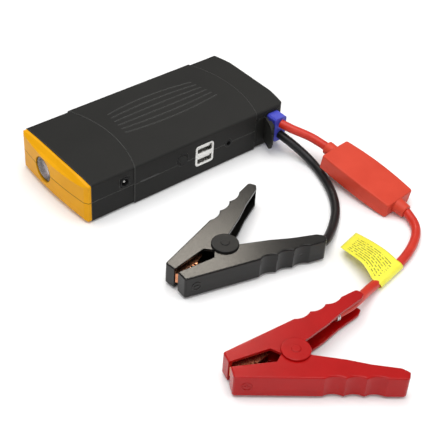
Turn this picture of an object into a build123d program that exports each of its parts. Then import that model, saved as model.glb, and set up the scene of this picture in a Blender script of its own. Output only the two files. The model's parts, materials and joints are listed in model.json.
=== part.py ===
"""Jump starter pack with its smart clamp cable plugged in.

Millimetres. The origin is the middle of the pack's underside, on the surface it stands on.
+X runs along the pack towards the clamp-cable socket, the ports face -Y, and +Z is up.
The pack, the in-line protection box and the two clamps all lie on the plane z = 0.
"""
import os
from math import acos, atan2, cos, hypot, pi, radians, sin, tan

from build123d import *

# ---------------------------------------------------------------- pack casing
BODY_LENGTH = 168.0
HALF_LENGTH = BODY_LENGTH / 2
END_HALF_WIDTH = 40.0            # the two end sections
MID_HALF_WIDTH = 40.7            # the middle section stands a little proud of them
END_BULGE = 4.5                  # how far the +X end bows out
FOOT_HEIGHT = 0.25
END_BOTTOM = 0.75
MID_BOTTOM = FOOT_HEIGHT
END_SHOULDER, END_CROWN = 31.3, 32.3
MID_SHOULDER, MID_CROWN = 31.9, 32.6
MID_LEFT, MID_RIGHT = -49.9, 58.2    # where the middle section starts and ends at the sides
MID_BOW = 9.0                    # both of its end lines bow towards +X
SPLIT = 17.0                     # parting line of the upper and lower casing
PARTING_DEPTH, PARTING_HEIGHT = 0.4, 0.3
EDGE_RADIUS = 1.6
CORNER_RADIUS = 3.0
CAVITY_HALF_WIDTH = 37.8
CAVITY_LEFT, CAVITY_RIGHT = -81.8, 83.0
CAVITY_BOTTOM, CAVITY_TOP = 3.2, 29.2
FACE = -MID_HALF_WIDTH           # the port face, as a Y value

# fine curved grooves across the top: left end, middle and right end of the first and the last
RIBS, RIB_WIDTH, RIB_DEPTH = 6, 0.9, 0.35
RIB_FIRST = ((-29.4, 19.2), (8.1, 22.5), (44.7, 18.6))
RIB_LAST = ((-32.2, -5.5), (2.0, -8.4), (50.0, -5.1))

# ---------------------------------------------------------------- lamp end cap
CAP_JOINT = -HALF_LENGTH - 0.15
CAP_SIDE, CAP_SHOULDER, CAP_NOSE = -86.2, -88.2, -90.9
CAP_HALF_WIDTH = 39.8
CAP_FACE_HALF_WIDTH = 36.8
CAP_BOTTOM, CAP_TOP = 1.0, 31.4
CAP_BEVEL = 2.4
LAMP_Y, LAMP_RADIUS = 9.3, 9.5

# ---------------------------------------------------------------- ports
USB_X, USB_WIDTH, USB_BOTTOM, USB_TOP = 10.9, 16.2, 8.6, 25.8
USB_SLOTS_Z = (13.0, 21.8)
USB_SLOT_WIDTH, USB_SLOT_HEIGHT = 13.1, 5.2
USB_LINER = 0.3
BUTTON_X, BUTTON_Z, BUTTON_RADIUS = -8.4, 20.2, 3.7
BUTTON_TRAVEL = 0.6
DC_X, DC_Z, DC_SIDE = -57.4, 22.6, 8.2
JACK_X, JACK_Z, JACK_RADIUS = 32.9, 17.2, 2.7
WINDOW_LEFT, WINDOW_RIGHT = -44.7, -29.5
BOARD_FRONT, BOARD_THICK = -27.4, 1.6

# ---------------------------------------------------------------- clamp-cable socket and plug
PLUG_X, PLUG_WIDTH = 74.8, 10.6
PLUG_BOTTOM, PLUG_TOP = 7.6, 27.4
PLUG_REAR, PLUG_NOSE = -49.5, -33.0
PLUG_GAP = 0.3
SOCKET_WALL = 1.3
CONTACTS_Z = (13.0, 22.2)
HINGE_X, HINGE_Y = 67.3, -41.9
FLAP_WIDTH, FLAP_THICK = 14.6, 1.6
LIP_INSET, LIP_DEPTH = 1.2, 1.6
FLAP_BOTTOM, FLAP_TOP = 6.6, 26.2
FLAP_OPEN = 113.0                # degrees from closed, as the flap stands beside the plug

# ---------------------------------------------------------------- leads
LEAD = 6.4                       # outer diameter of each silicone lead
RED_LEAD_1 = [(75.3, -49.5, 22.2), (77.3, -57, 21.4), (82.3, -64.5, 19.6), (87.3, -73.5, 17.5),
              (89.4, -84.2, 15.65)]
RED_LEAD_2 = [(93.24, -160.9, 5.31), (91.8, -168.3, 4.1), (88.2, -174.9, 3.4), (82.2, -180.6, 3.2),
              (74.2, -185.4, 3.2), (64.5, -189.7, 3.2), (53, -193.2, 3.2), (41, -195.3, 3.2),
              (28, -197.4, 3.4), (13.5, -201.0, 6.4), (-1, -206.4, 10.8), (-13, -208.3, 11.8),
              (-24, -207.3, 11.8)]
BLACK_LEAD = [(74.8, -49.5, 13.0), (75.8, -58.5, 11.8), (79.4, -69, 7.0), (80.4, -81, 3.4),
              (76.6, -94, 3.2), (71, -108, 3.2), (63.8, -120.5, 3.2), (54.8, -131.2, 3.2),
              (44, -139.8, 3.3), (33.5, -146.8, 5.0), (24.5, -151.8, 7.6), (15.5, -153.6, 9.3),
              (5.5, -151.8, 9.6), (-5, -148.3, 9.6)]
LEAD_GROOVE = 0.25               # room round a lead where it enters a handle

# ---------------------------------------------------------------- in-line protection box
BOX_LENGTH, BOX_WIDTH, BOX_HEIGHT = 61.9, 27.2, 11.6
BOX_SIDE_BOW, BOX_CROWN = 1.4, 0.9
BOX_X, BOX_Y = 91.6, -121.7
BOX_YAW, BOX_TILT = -5.6, 8.27   # it leans on the black lead, plug side up
BOX_WALL = 1.8
COLLAR_IN, COLLAR_OUT = (7.0, 1.5, 0.0), (8.5, -2.2, 0.8)    # length, sideways, upwards
COLLAR_RADIUS = 5.0

# ---------------------------------------------------------------- label on the red lead
LABEL_THICK = 0.4
LABEL_LEFT = [(25.0, -200.4, 6.4), (23.5, -195.5, 7.6), (24.6, -188.5, 11.3), (26.6, -176.5, 10.2),
              (29.2, -161.2, 6.6)]
LABEL_RIGHT = [(50.6, -196.4, 6.0), (49.7, -193.0, 7.0), (50.2, -186.5, 7.6), (51.1, -175.5, 6.6),
               (53.1, -152.9, 1.2)]

# ---------------------------------------------------------------- clamps, in their own frame
CLAMP_THICK = 16.0
CLAMP_WALL, CLAMP_SPINE = 1.8, 2.4
HALF_DEPTH = 21.0                # pivot axis to the outer edge of a half
HALF_ANGLE = 16.4                # each half leans this much off the middle line at rest
TIP_X, TIP_INNER_X, TIP_INNER_Y = -36.6, -38.1, 13.2
GRIP_START, GRIP_PITCH, GRIP_DEPTH, GRIPS = 15.0, 12.0, 1.7, 3
HANDLE_END = 64.6
EAR_RADIUS, EAR_CLEAR = 8.3, 8.9
PIN_RADIUS, PIN_BORE, PIN_SEAT = 2.4, 2.65, 0.02
DISC_RADIUS, DISC_THICK, DISC_GAP = 9.0, 1.4, 0.1
INNER_EAR_GAP = 0.3
JAW_BOTTOM, JAW_TOP, JAW_SHEET, JAW_BACK = 4.3, 11.7, 1.2, 17.2
JAW_FRONT, JAW_REAR = -39.3, -12.5   # from the first tooth to the back end of the cheeks
TOOTH_PITCH, TOOTH_DEPTH, TEETH, TOOTH_GAP = 2.5, 1.55, 7, 0.15
COIL_RADIUS, COIL_PITCH, WIRE_RADIUS, LEG_Y = 5.15, 1.38, 0.8, 15.5
BLACK_CLAMP = (-39.0, -123.7, 1.8)       # pivot x, y and the turn of the middle line
RED_CLAMP = (-64.6, -218.5, -21.25)
CLAMP_LIFT = DISC_THICK + DISC_GAP


# ================================================================ small helpers
def block(x0, x1, y0, y1, z0, z1):
    return Pos((x0 + x1) / 2, (y0 + y1) / 2, (z0 + z1) / 2) * Box(x1 - x0, y1 - y0, z1 - z0)


def rod_y(x, z, radius, y0, y1):
    return Pos(x, (y0 + y1) / 2, z) * Rot(90, 0, 0) * Cylinder(radius, y1 - y0)


def rod_x(y, z, radius, x0, x1):
    return Pos((x0 + x1) / 2, y, z) * Rot(0, 90, 0) * Cylinder(radius, x1 - x0)


def rod_z(x, y, radius, z0, z1):
    return Pos(x, y, (z0 + z1) / 2) * Cylinder(radius, z1 - z0)


def slab(face, z0, z1):
    return Pos(0, 0, z0) * extrude(face, z1 - z0)


def corner_nearest(face, x, y):
    return min(face.vertices(), key=lambda v: (v.X - x) ** 2 + (v.Y - y) ** 2)


def save(name, shape):
    export_step(shape, f"parts/{name}.step")


def bend_radii(points):
    """Each bend is as large as its two runs allow."""
    radii = []
    for a, b, c in zip(points, points[1:], points[2:]):
        run_in, run_out = Vector(b) - Vector(a), Vector(c) - Vector(b)
        turn = radians(run_in.get_angle(run_out))
        radii.append(0.45 * min(run_in.length, run_out.length) / tan(turn / 2))
    return radii


def tube(points, diameter):
    path = FilletPolyline(*points, radius=bend_radii(points))
    return sweep(Plane(path @ 0, z_dir=path % 0) * Circle(diameter / 2), path=path)


# ================================================================ pack casing
def bar_along_x(half_width, bottom, shoulder, crown, x0, x1):
    outline = Polyline((-half_width, shoulder), (-half_width, bottom), (half_width, bottom),
                       (half_width, shoulder))
    outline += ThreePointArc((half_width, shoulder), (0, crown), (-half_width, shoulder))
    face = fillet(make_face(outline).vertices(), EDGE_RADIUS)
    return Pos(x0, 0, 0) * extrude(Plane.YZ * face, x1 - x0)


def end_plan():
    outline = Polyline((HALF_LENGTH, -END_HALF_WIDTH), (-HALF_LENGTH, -END_HALF_WIDTH),
                       (-HALF_LENGTH, END_HALF_WIDTH), (HALF_LENGTH, END_HALF_WIDTH))
    outline += ThreePointArc((HALF_LENGTH, END_HALF_WIDTH), (HALF_LENGTH + END_BULGE, 0),
                             (HALF_LENGTH, -END_HALF_WIDTH))
    face = make_face(outline)
    right = [corner_nearest(face, HALF_LENGTH, side * END_HALF_WIDTH) for side in (-1, 1)]
    return fillet(right, CORNER_RADIUS)


def end_profile():
    """Side view of the casing, with the +X end rounded over top and bottom."""
    reach = HALF_LENGTH + END_BULGE
    outline = Polyline((-HALF_LENGTH, END_BOTTOM), (reach, END_BOTTOM), (reach, END_CROWN),
                       (-HALF_LENGTH, END_CROWN), close=True)
    face = make_face(outline)
    right = [corner_nearest(face, reach, z) for z in (END_BOTTOM, END_CROWN)]
    return extrude(Plane.XZ * fillet(right, CORNER_RADIUS), MID_HALF_WIDTH, both=True)


def middle_plan():
    reach = MID_HALF_WIDTH + 1
    outline = Line((MID_LEFT, -reach), (MID_RIGHT, -reach))
    outline += ThreePointArc((MID_RIGHT, -reach), (MID_RIGHT + MID_BOW, 0), (MID_RIGHT, reach))
    outline += Line((MID_RIGHT, reach), (MID_LEFT, reach))
    outline += ThreePointArc((MID_LEFT, reach), (MID_LEFT + MID_BOW, 0), (MID_LEFT, -reach))
    return make_face(outline)


def casing_outside():
    reach = HALF_LENGTH + END_BULGE + 1
    ends = bar_along_x(END_HALF_WIDTH, END_BOTTOM, END_SHOULDER, END_CROWN, -HALF_LENGTH, reach)
    ends = ends & slab(end_plan(), 0, END_CROWN + 1) & end_profile()
    middle = bar_along_x(MID_HALF_WIDTH, MID_BOTTOM, MID_SHOULDER, MID_CROWN, -70, 80)
    middle = middle & slab(middle_plan(), 0, MID_CROWN + 1)
    outside = ends + middle
    groove = block(-100, 100, -50, 50, SPLIT, SPLIT + PARTING_HEIGHT)
    keep = MID_HALF_WIDTH - PARTING_DEPTH
    groove -= block(MID_LEFT, MID_RIGHT, -keep, keep, 0, 40)
    groove -= block(-HALF_LENGTH - 1, HALF_LENGTH + END_BULGE - 0.5, -END_HALF_WIDTH + PARTING_DEPTH,
                    END_HALF_WIDTH - PARTING_DEPTH, 0, 40)
    return outside - groove


def socket_outline(grow):
    face = Pos(PLUG_X, (PLUG_BOTTOM + PLUG_TOP) / 2) * Rectangle(
        PLUG_WIDTH + 2 * grow, PLUG_TOP - PLUG_BOTTOM + 2 * grow)
    return chamfer(face.vertices(), 1.2)


def prism_y(face, y0, y1):
    """A face drawn in X and Z, given depth from y0 to y1."""
    return Pos(0, y1, 0) * extrude(Plane.XZ * face, y1 - y0)


def port_holes():
    usb = Pos(USB_X, (USB_BOTTOM + USB_TOP) / 2) * Rectangle(USB_WIDTH, USB_TOP - USB_BOTTOM)
    deep = CAVITY_HALF_WIDTH + 1
    holes = prism_y(fillet(usb.vertices(), 2.4), FACE - 1, -deep + 2)
    holes += rod_y(BUTTON_X, BUTTON_Z, BUTTON_RADIUS + 1.5, FACE - 1, -deep + 2)
    holes += block(DC_X - DC_SIDE / 2, DC_X + DC_SIDE / 2, FACE - 1, -deep + 2,
                   DC_Z - DC_SIDE / 2, DC_Z + DC_SIDE / 2)
    holes += rod_y(JACK_X, JACK_Z, JACK_RADIUS + 0.5, FACE - 1, -deep + 2)
    holes += prism_y(socket_outline(PLUG_GAP + SOCKET_WALL), FACE - 1, -deep + 2)
    holes += block(WINDOW_LEFT, WINDOW_RIGHT, FACE - 1, -deep + 2, SPLIT, SPLIT + 0.9)
    holes += block(HINGE_X - 8.6, HINGE_X - 0.4, -END_HALF_WIDTH - 2, -END_HALF_WIDTH + 1.2,
                   FLAP_BOTTOM - 0.1, FLAP_TOP + 0.1)
    return holes


def top_ribs():
    """Shallow grooves of even depth that follow the crown of the middle section."""
    strips = []
    for index in range(RIBS):
        share = index / (RIBS - 1)
        line = [(a[0] + share * (b[0] - a[0]), a[1] + share * (b[1] - a[1]))
                for a, b in zip(RIB_FIRST, RIB_LAST)]
        far, near = [[(x, y + side * RIB_WIDTH / 2) for x, y in line] for side in (1, -1)]
        outline = ThreePointArc(*far) + Line(far[2], near[2])
        outline += ThreePointArc(*near[::-1]) + Line(near[0], far[0])
        strips.append(slab(make_face(outline), 25, 40))
    core = bar_along_x(MID_HALF_WIDTH, MID_BOTTOM, MID_SHOULDER - RIB_DEPTH, MID_CROWN - RIB_DEPTH, -70, 80)
    return [strip - core for strip in strips]


SCREW_PLACES = [(-70, -16), (-70, 30), (62.5, -20), (70, 30)]
FOOT_PLACES = [(x, y) for x in (-38, 44) for y in (-30, 30)]


def casing_halves():
    cavity = block(CAVITY_LEFT, CAVITY_RIGHT, -CAVITY_HALF_WIDTH, CAVITY_HALF_WIDTH,
                   CAVITY_BOTTOM, CAVITY_TOP)
    cavity = fillet(cavity.edges().filter_by(Axis.Z), 3)
    lamp_hole = rod_x(LAMP_Y, SPLIT, LAMP_RADIUS + 0.6, -HALF_LENGTH - 1, CAVITY_LEFT + 1)
    shell = casing_outside() - cavity - lamp_hole - port_holes()
    upper = shell & block(-100, 100, -50, 50, SPLIT, 40)
    for rib in top_ribs():
        upper -= rib
    lower = shell & block(-100, 100, -50, 50, 0, SPLIT)
    for x, y in SCREW_PLACES:
        upper += rod_z(x, y, 3.0, 9, CAVITY_TOP + 0.5)
        upper -= rod_z(x, y, 1.3, 7, 22)
        lower += rod_z(x, y, 4.2, CAVITY_BOTTOM - 0.5, 9)
        lower -= rod_z(x, y, 1.7, 0, 10)
        lower -= rod_z(x, y, 3.1, 0, 3.6)
    for x, y in FOOT_PLACES:
        lower -= rod_z(x, y, 6, 0, FOOT_HEIGHT + 0.6)
    return upper, lower


def feet():
    return [fillet(rod_z(x, y, 6, 0, FOOT_HEIGHT + 0.6).edges().group_by(Axis.Z)[0], 0.5)
            for x, y in FOOT_PLACES]


def casing_screws():
    screws = []
    for x, y in SCREW_PLACES:
        screw = rod_z(x, y, 2.8, 1.4, 3.6) + rod_z(x, y, 1.3, 3.6, 17)
        screws.append(screw - Pos(x, y, 1.4) * Box(3.0, 0.7, 1.6) - Pos(x, y, 1.4) * Box(0.7, 3.0, 1.6))
    return screws


# ================================================================ lamp end cap
def cap_body():
    plan = Polyline((CAP_SHOULDER, CAP_FACE_HALF_WIDTH), (CAP_SIDE, CAP_HALF_WIDTH),
                    (CAP_JOINT, CAP_HALF_WIDTH), (CAP_JOINT, -CAP_HALF_WIDTH),
                    (CAP_SIDE, -CAP_HALF_WIDTH), (CAP_SHOULDER, -CAP_FACE_HALF_WIDTH))
    plan += ThreePointArc((CAP_SHOULDER, -CAP_FACE_HALF_WIDTH), (CAP_NOSE, 0),
                          (CAP_SHOULDER, CAP_FACE_HALF_WIDTH))
    side = Polyline((CAP_JOINT, CAP_BOTTOM), (CAP_SIDE, CAP_BOTTOM),
                    (CAP_SHOULDER - 0.6, CAP_BOTTOM + CAP_BEVEL), (CAP_NOSE, CAP_BOTTOM + CAP_BEVEL + 1.2),
                    (CAP_NOSE, CAP_TOP - CAP_BEVEL - 1.2), (CAP_SHOULDER - 0.6, CAP_TOP - CAP_BEVEL),
                    (CAP_SIDE, CAP_TOP), (CAP_JOINT, CAP_TOP), close=True)
    body = slab(make_face(plan), 0, 40) & extrude(Plane.XZ * make_face(side), 45, both=True)
    return body & bar_along_x(CAP_HALF_WIDTH, CAP_BOTTOM, CAP_TOP - 0.6, CAP_TOP + 0.4, CAP_NOSE - 1, -80)


def cap_halves():
    body = cap_body() - rod_x(LAMP_Y, SPLIT, LAMP_RADIUS, CAP_NOSE - 1, CAP_JOINT + 1)
    body -= block(CAP_SHOULDER + 2, CAP_JOINT + 1, -34, 34, 5.5, 27)
    body -= block(CAP_NOSE - 1, CAP_JOINT + 1, -45, 45, SPLIT - 0.1, SPLIT + 0.1)
    return body & block(-100, -80, -45, 45, SPLIT, 40), body & block(-100, -80, -45, 45, 0, SPLIT)


def lamp_lens():
    lens = rod_x(LAMP_Y, SPLIT, LAMP_RADIUS - 0.15, CAP_NOSE + 0.7, CAP_NOSE + 2.4)
    dome = Pos(CAP_NOSE + 27.0, LAMP_Y, SPLIT) * Sphere(27.2)
    return (lens + rod_x(LAMP_Y, SPLIT, LAMP_RADIUS - 0.15, CAP_NOSE - 0.5, CAP_NOSE + 1)) & dome


def lamp_reflector():
    deep, wide = 8.6, LAMP_RADIUS - 0.3
    outside = Pos(CAP_NOSE + 2.45 + deep / 2, LAMP_Y, SPLIT) * Rot(0, 90, 0) * Cone(wide, 3.4, deep)
    inside = Pos(CAP_NOSE + 2.4 + deep / 2, LAMP_Y, SPLIT) * Rot(0, 90, 0) * Cone(wide - 0.8, 2.2, deep + 0.3)
    return outside - inside


def lamp_board():
    front = CAP_NOSE + 11.15
    return block(front, front + 1.4, LAMP_Y - 8, LAMP_Y + 8, SPLIT - 8, SPLIT + 8)


def lamp_led():
    front = CAP_NOSE + 11.15
    return rod_x(LAMP_Y, SPLIT, 1.7, front - 0.9, front)


# ================================================================ ports and what is behind them
def usb_housing():
    face = Pos(USB_X, (USB_BOTTOM + USB_TOP) / 2) * Rectangle(
        USB_WIDTH - 0.2, USB_TOP - USB_BOTTOM - 0.2)
    body = prism_y(fillet(face.vertices(), 2.3), FACE - 0.35, BOARD_FRONT)
    for z in USB_SLOTS_Z:
        body -= block(USB_X - USB_SLOT_WIDTH / 2, USB_X + USB_SLOT_WIDTH / 2, FACE - 1, BOARD_FRONT - 1.5,
                      z - USB_SLOT_HEIGHT / 2, z + USB_SLOT_HEIGHT / 2)
    return body


def usb_shells():
    shells = []
    for z in USB_SLOTS_Z:
        half_width, half_height = USB_SLOT_WIDTH / 2, USB_SLOT_HEIGHT / 2
        shell = block(USB_X - half_width, USB_X + half_width, FACE - 0.1, BOARD_FRONT - 1.5,
                      z - half_height, z + half_height)
        shell -= block(USB_X - half_width + USB_LINER, USB_X + half_width - USB_LINER, FACE - 1,
                       BOARD_FRONT, z - half_height + USB_LINER, z + half_height - USB_LINER)
        shells.append(shell)
    return shells


def usb_tongues():
    return [block(USB_X - 5.7, USB_X + 5.7, FACE + 1.0, BOARD_FRONT - 1.5, z + 0.15, z + 2.05)
            for z in USB_SLOTS_Z]


def power_button():
    cap = rod_y(BUTTON_X, BUTTON_Z, BUTTON_RADIUS, FACE - 0.7, FACE + 2.2)
    cap = fillet(cap.edges().group_by(Axis.Y)[0], 0.6)
    return cap + rod_y(BUTTON_X, BUTTON_Z, 1.6, FACE + 2.2, -34.3)


def button_bezel():
    ring = rod_y(BUTTON_X, BUTTON_Z, BUTTON_RADIUS + 1.45, FACE - 0.3, FACE + 1.6)
    ring = fillet(ring.edges().group_by(Axis.Y)[0], 0.25)
    return ring - rod_y(BUTTON_X, BUTTON_Z, BUTTON_RADIUS + 0.25, FACE - 1, FACE + 3)


def power_switch():
    body = block(BUTTON_X - 3, BUTTON_X + 3, -31.6, BOARD_FRONT, BUTTON_Z - 3, BUTTON_Z + 3)
    return body + rod_y(BUTTON_X, BUTTON_Z, 1.7, -33.5, -31.6)


def dc_input_jack():
    half = DC_SIDE / 2 - 0.15
    body = block(DC_X - half, DC_X + half, FACE + 0.9, BOARD_FRONT, DC_Z - half, DC_Z + half)
    collar = rod_y(DC_X, DC_Z, 3.6, FACE - 0.1, FACE + 0.9)
    return body + collar - rod_y(DC_X, DC_Z, 2.8, FACE - 1, BOARD_FRONT - 3)


def dc_input_pin():
    pin = rod_y(DC_X, DC_Z, 1.0, FACE + 1.0, BOARD_FRONT - 3)
    return fillet(pin.edges().group_by(Axis.Y)[0], 0.5)


def dc_output_jack():
    body = rod_y(JACK_X, JACK_Z, JACK_RADIUS + 0.4, FACE - 0.25, BOARD_FRONT)
    body = fillet(body.edges().group_by(Axis.Y)[0], 0.3)
    return body - rod_y(JACK_X, JACK_Z, 1.8, FACE - 1, BOARD_FRONT - 3)


def status_window():
    return block(WINDOW_LEFT + 0.1, WINDOW_RIGHT - 0.1, FACE - 0.05, -36.2, SPLIT + 0.08, SPLIT + 0.82)


def main_board():
    return block(-78, 64, BOARD_FRONT, BOARD_FRONT + BOARD_THICK, 4.2, 28.4)


def board_parts():
    """Coil, capacitors and switching transistors on the back of the board."""
    back = BOARD_FRONT + BOARD_THICK
    parts = [block(x, x + 7, back, back + 4.5, 19, 26) for x in (-40, -28)]
    parts += [rod_y(x, 9.5, 3.1, back, back + 5.5) for x in (-44, -34, -24)]
    return parts


def status_leds():
    return [block(x - 0.8, x + 0.8, -29.0, BOARD_FRONT, SPLIT - 0.4, SPLIT + 1.2)
            for x in (-43, -39, -35, -31)]


CELLS, CELL_THICK, CELL_GAP = 4, 5.9, 0.3


def battery_cells():
    cells = []
    for index in range(CELLS):
        bottom = CAVITY_BOTTOM + 0.4 + index * (CELL_THICK + CELL_GAP)
        cell = block(-62, 58, -14, 37, bottom, bottom + CELL_THICK)
        cells.append(fillet(cell.edges().filter_by(Axis.Z), 3))
    return cells


def cell_foam():
    return block(-60, 56, -12, 35, CAVITY_BOTTOM + 0.4 + CELLS * (CELL_THICK + CELL_GAP), CAVITY_TOP)


def cell_tabs():
    """Nickel strips joining the cells, at the +X end of the stack."""
    return [block(58.0, 58.4, y, y + 8, 5, 27) for y in (0, 18)]


# ================================================================ clamp-cable socket
def socket_housing():
    body = prism_y(socket_outline(PLUG_GAP + SOCKET_WALL - 0.05), FACE + 0.3, -22)
    hollow = prism_y(socket_outline(PLUG_GAP), FACE - 1, PLUG_NOSE + 1)
    return body - hollow - contact_rods(1.8, PLUG_NOSE - 3, -20)


def contact_rods(radius, y0, y1):
    rods = [rod_y(PLUG_X, z, radius, y0, y1) for z in CONTACTS_Z]
    return rods[0] + rods[1]


def socket_contacts():
    return [rod_y(PLUG_X, z, 1.8, -39.2, -19) for z in CONTACTS_Z]


def battery_lead(z, y_end, height):
    """From a socket contact back to the strip on the end of the cells."""
    points = [(PLUG_X, -19, z), (PLUG_X, -10, z), (PLUG_X - 3, y_end - 8, height),
              (PLUG_X - 9, y_end, height), (58.4, y_end, height)]
    return tube(points, 4.0)


def flap_outline(width, bottom, top, corner):
    """The rubber cover seen square on: straight at its hinge, round at its free side."""
    face = Pos(width / 2, (bottom + top) / 2) * Rectangle(width, top - bottom)
    free = [corner_nearest(face, width, z) for z in (bottom, top)]
    return fillet(free, corner)


def socket_cover():
    """Built closed, with its upright hinge bead on the axis, then turned open."""
    half, middle = FLAP_THICK / 2, (PLUG_BOTTOM + PLUG_TOP) / 2
    plate = prism_y(flap_outline(FLAP_WIDTH, FLAP_BOTTOM, FLAP_TOP, 4.5), -half, half)
    lip = Pos(-HINGE_X, 0, 0) * prism_y(socket_outline(-LIP_INSET), half - 0.01, half + LIP_DEPTH)
    inside = Pos(PLUG_X - HINGE_X, middle) * Rectangle(
        PLUG_WIDTH - 2 * LIP_INSET - 2.2, PLUG_TOP - PLUG_BOTTOM - 2 * LIP_INSET - 2.2)
    lip -= prism_y(inside, -half, half + LIP_DEPTH + 1)
    tab = prism_y(Pos(FLAP_WIDTH + 0.8, middle) * Rectangle(2.6, 8), -half, half - 0.4)
    cover = plate + lip + tab + rod_z(0, 0, half, FLAP_BOTTOM, FLAP_TOP)
    return Pos(HINGE_X, HINGE_Y, 0) * Rot(0, 0, -FLAP_OPEN) * cover


def cover_anchor():
    """The rubber cover's fixed pad, let into the casing beside the socket."""
    pad = block(HINGE_X - 8.5, HINGE_X - 0.5, -END_HALF_WIDTH - 0.9, -END_HALF_WIDTH + 1.1,
                FLAP_BOTTOM, FLAP_TOP)
    corners = [edge for edge in pad.edges().filter_by(Axis.Y) if edge.center().X < HINGE_X - 4]
    return fillet(corners, 3.8)


def plug_housing():
    body = prism_y(socket_outline(0), PLUG_REAR, PLUG_NOSE)
    return body - contact_rods(2.6, -41.5, PLUG_NOSE + 1)


def plug_contacts():
    return [rod_y(PLUG_X, z, 2.6, -41.5, PLUG_NOSE + 0.01) - rod_y(PLUG_X, z, 2.05, -40.5, PLUG_NOSE + 1)
            for z in CONTACTS_Z]


# ================================================================ in-line box
def box_plane():
    """X runs along the box away from the plug, Y across it, Z out of its top."""
    yaw, tilt = radians(BOX_YAW), radians(BOX_TILT)
    lift = BOX_HEIGHT / 2 * cos(tilt) + BOX_LENGTH / 2 * sin(tilt)
    along = Vector(-sin(yaw) * cos(tilt), -cos(yaw) * cos(tilt), -sin(tilt))
    normal = Vector(-sin(yaw) * sin(tilt), -cos(yaw) * sin(tilt), cos(tilt))
    return Plane(origin=(BOX_X, BOX_Y, lift), x_dir=along, z_dir=normal)


def box_outside():
    end, side, half = BOX_LENGTH / 2, BOX_WIDTH / 2, BOX_HEIGHT / 2
    plan = Line((-end, -side), (-end, side))
    plan += ThreePointArc((-end, side), (0, side + BOX_SIDE_BOW), (end, side))
    plan += Line((end, side), (end, -side))
    plan += ThreePointArc((end, -side), (0, -side - BOX_SIDE_BOW), (-end, -side))
    face = fillet(make_face(plan).vertices(), 2.0)
    profile = Polyline((end, half), (end, -half), (-end, -half), (-end, half))
    profile += ThreePointArc((-end, half), (0, half + BOX_CROWN), (end, half))
    body = slab(face, -half, half + 2) & extrude(Plane.XZ * make_face(profile), 20, both=True)
    rims = [body.edges().group_by(Axis.Z)[0], body.edges().filter_by(lambda e: e.center().Z > half - 0.5)]
    return fillet(rims[0] + rims[1], 1.1)


def box_halves():
    end, side, half = BOX_LENGTH / 2, BOX_WIDTH / 2, BOX_HEIGHT / 2
    cavity = block(-end + BOX_WALL, end - BOX_WALL, -side + BOX_WALL, side - BOX_WALL,
                   -half + BOX_WALL, half - BOX_WALL)
    shell = box_outside() - cavity - box_passages(2.6)
    joint = -1.2
    upper = shell & block(-50, 50, -30, 30, joint, 20)
    lower = shell & block(-50, 50, -30, 30, -20, joint)
    return upper, lower


def box_passages(radius):
    end = BOX_LENGTH / 2
    inner = rod_x(COLLAR_IN[1], COLLAR_IN[2], radius, -end - 1, -end + BOX_WALL + 1)
    return inner + rod_x(COLLAR_OUT[1], COLLAR_OUT[2], radius, end - BOX_WALL - 1, end + 1)


def box_collar_in():
    length, across, up = COLLAR_IN
    end = -BOX_LENGTH / 2
    collar = rod_x(across, up, COLLAR_RADIUS, end - length, end)
    return fillet(collar.edges().group_by(Axis.X)[0], 0.8)


def box_collar_out():
    length, across, up = COLLAR_OUT
    end = BOX_LENGTH / 2
    collar = Rot(0, 90, 0) * Cone(COLLAR_RADIUS + 0.5, COLLAR_RADIUS - 0.4, length)
    collar = Pos(end + length / 2, across, up) * collar
    return fillet(collar.edges().group_by(Axis.X)[-1], 0.6)


def box_board():
    return block(-24, 24, -9.5, 9.5, -2.6, -1.4)


def box_relay():
    return [block(-16, 2, -7.5, 7.5, -1.4, 3.0), block(7, 17, -5, 5, -1.4, 1.8)]


# ================================================================ label
def label_strip():
    """A flag of stiff film: wrapped over the lead at one end, its free end twisted to the floor."""
    sections = []
    for a, b in zip(LABEL_LEFT, LABEL_RIGHT):
        across = Vector(b) - Vector(a)
        middle = (Vector(a) + Vector(b)) * 0.5
        unit = across.normalized()
        along = Vector(0, 1, 0) - unit * unit.Y
        plane = Plane(origin=middle, x_dir=across, z_dir=along)
        sections.append(plane * Rectangle(across.length, LABEL_THICK))
    return loft(sections, ruled=True)


# ================================================================ clamps
def local_to_clamp(x, y, side):
    """A point of a half, given with its outer edge level, in the clamp's own frame."""
    turn = radians(HALF_ANGLE)
    return x * cos(turn) - y * sin(turn), side * (x * sin(turn) + y * cos(turn))


def clamp_to_local(point, clamp, side):
    """Where a point of the model lies in a half that has its outer edge level."""
    dx, dy, turn = point[0] - clamp[0], point[1] - clamp[1], radians(clamp[2])
    along, across = dx * cos(turn) + dy * sin(turn), side * (dy * cos(turn) - dx * sin(turn))
    lean = radians(HALF_ANGLE)
    return (along * cos(lean) + across * sin(lean), across * cos(lean) - along * sin(lean),
            point[2] - CLAMP_LIFT)


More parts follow.
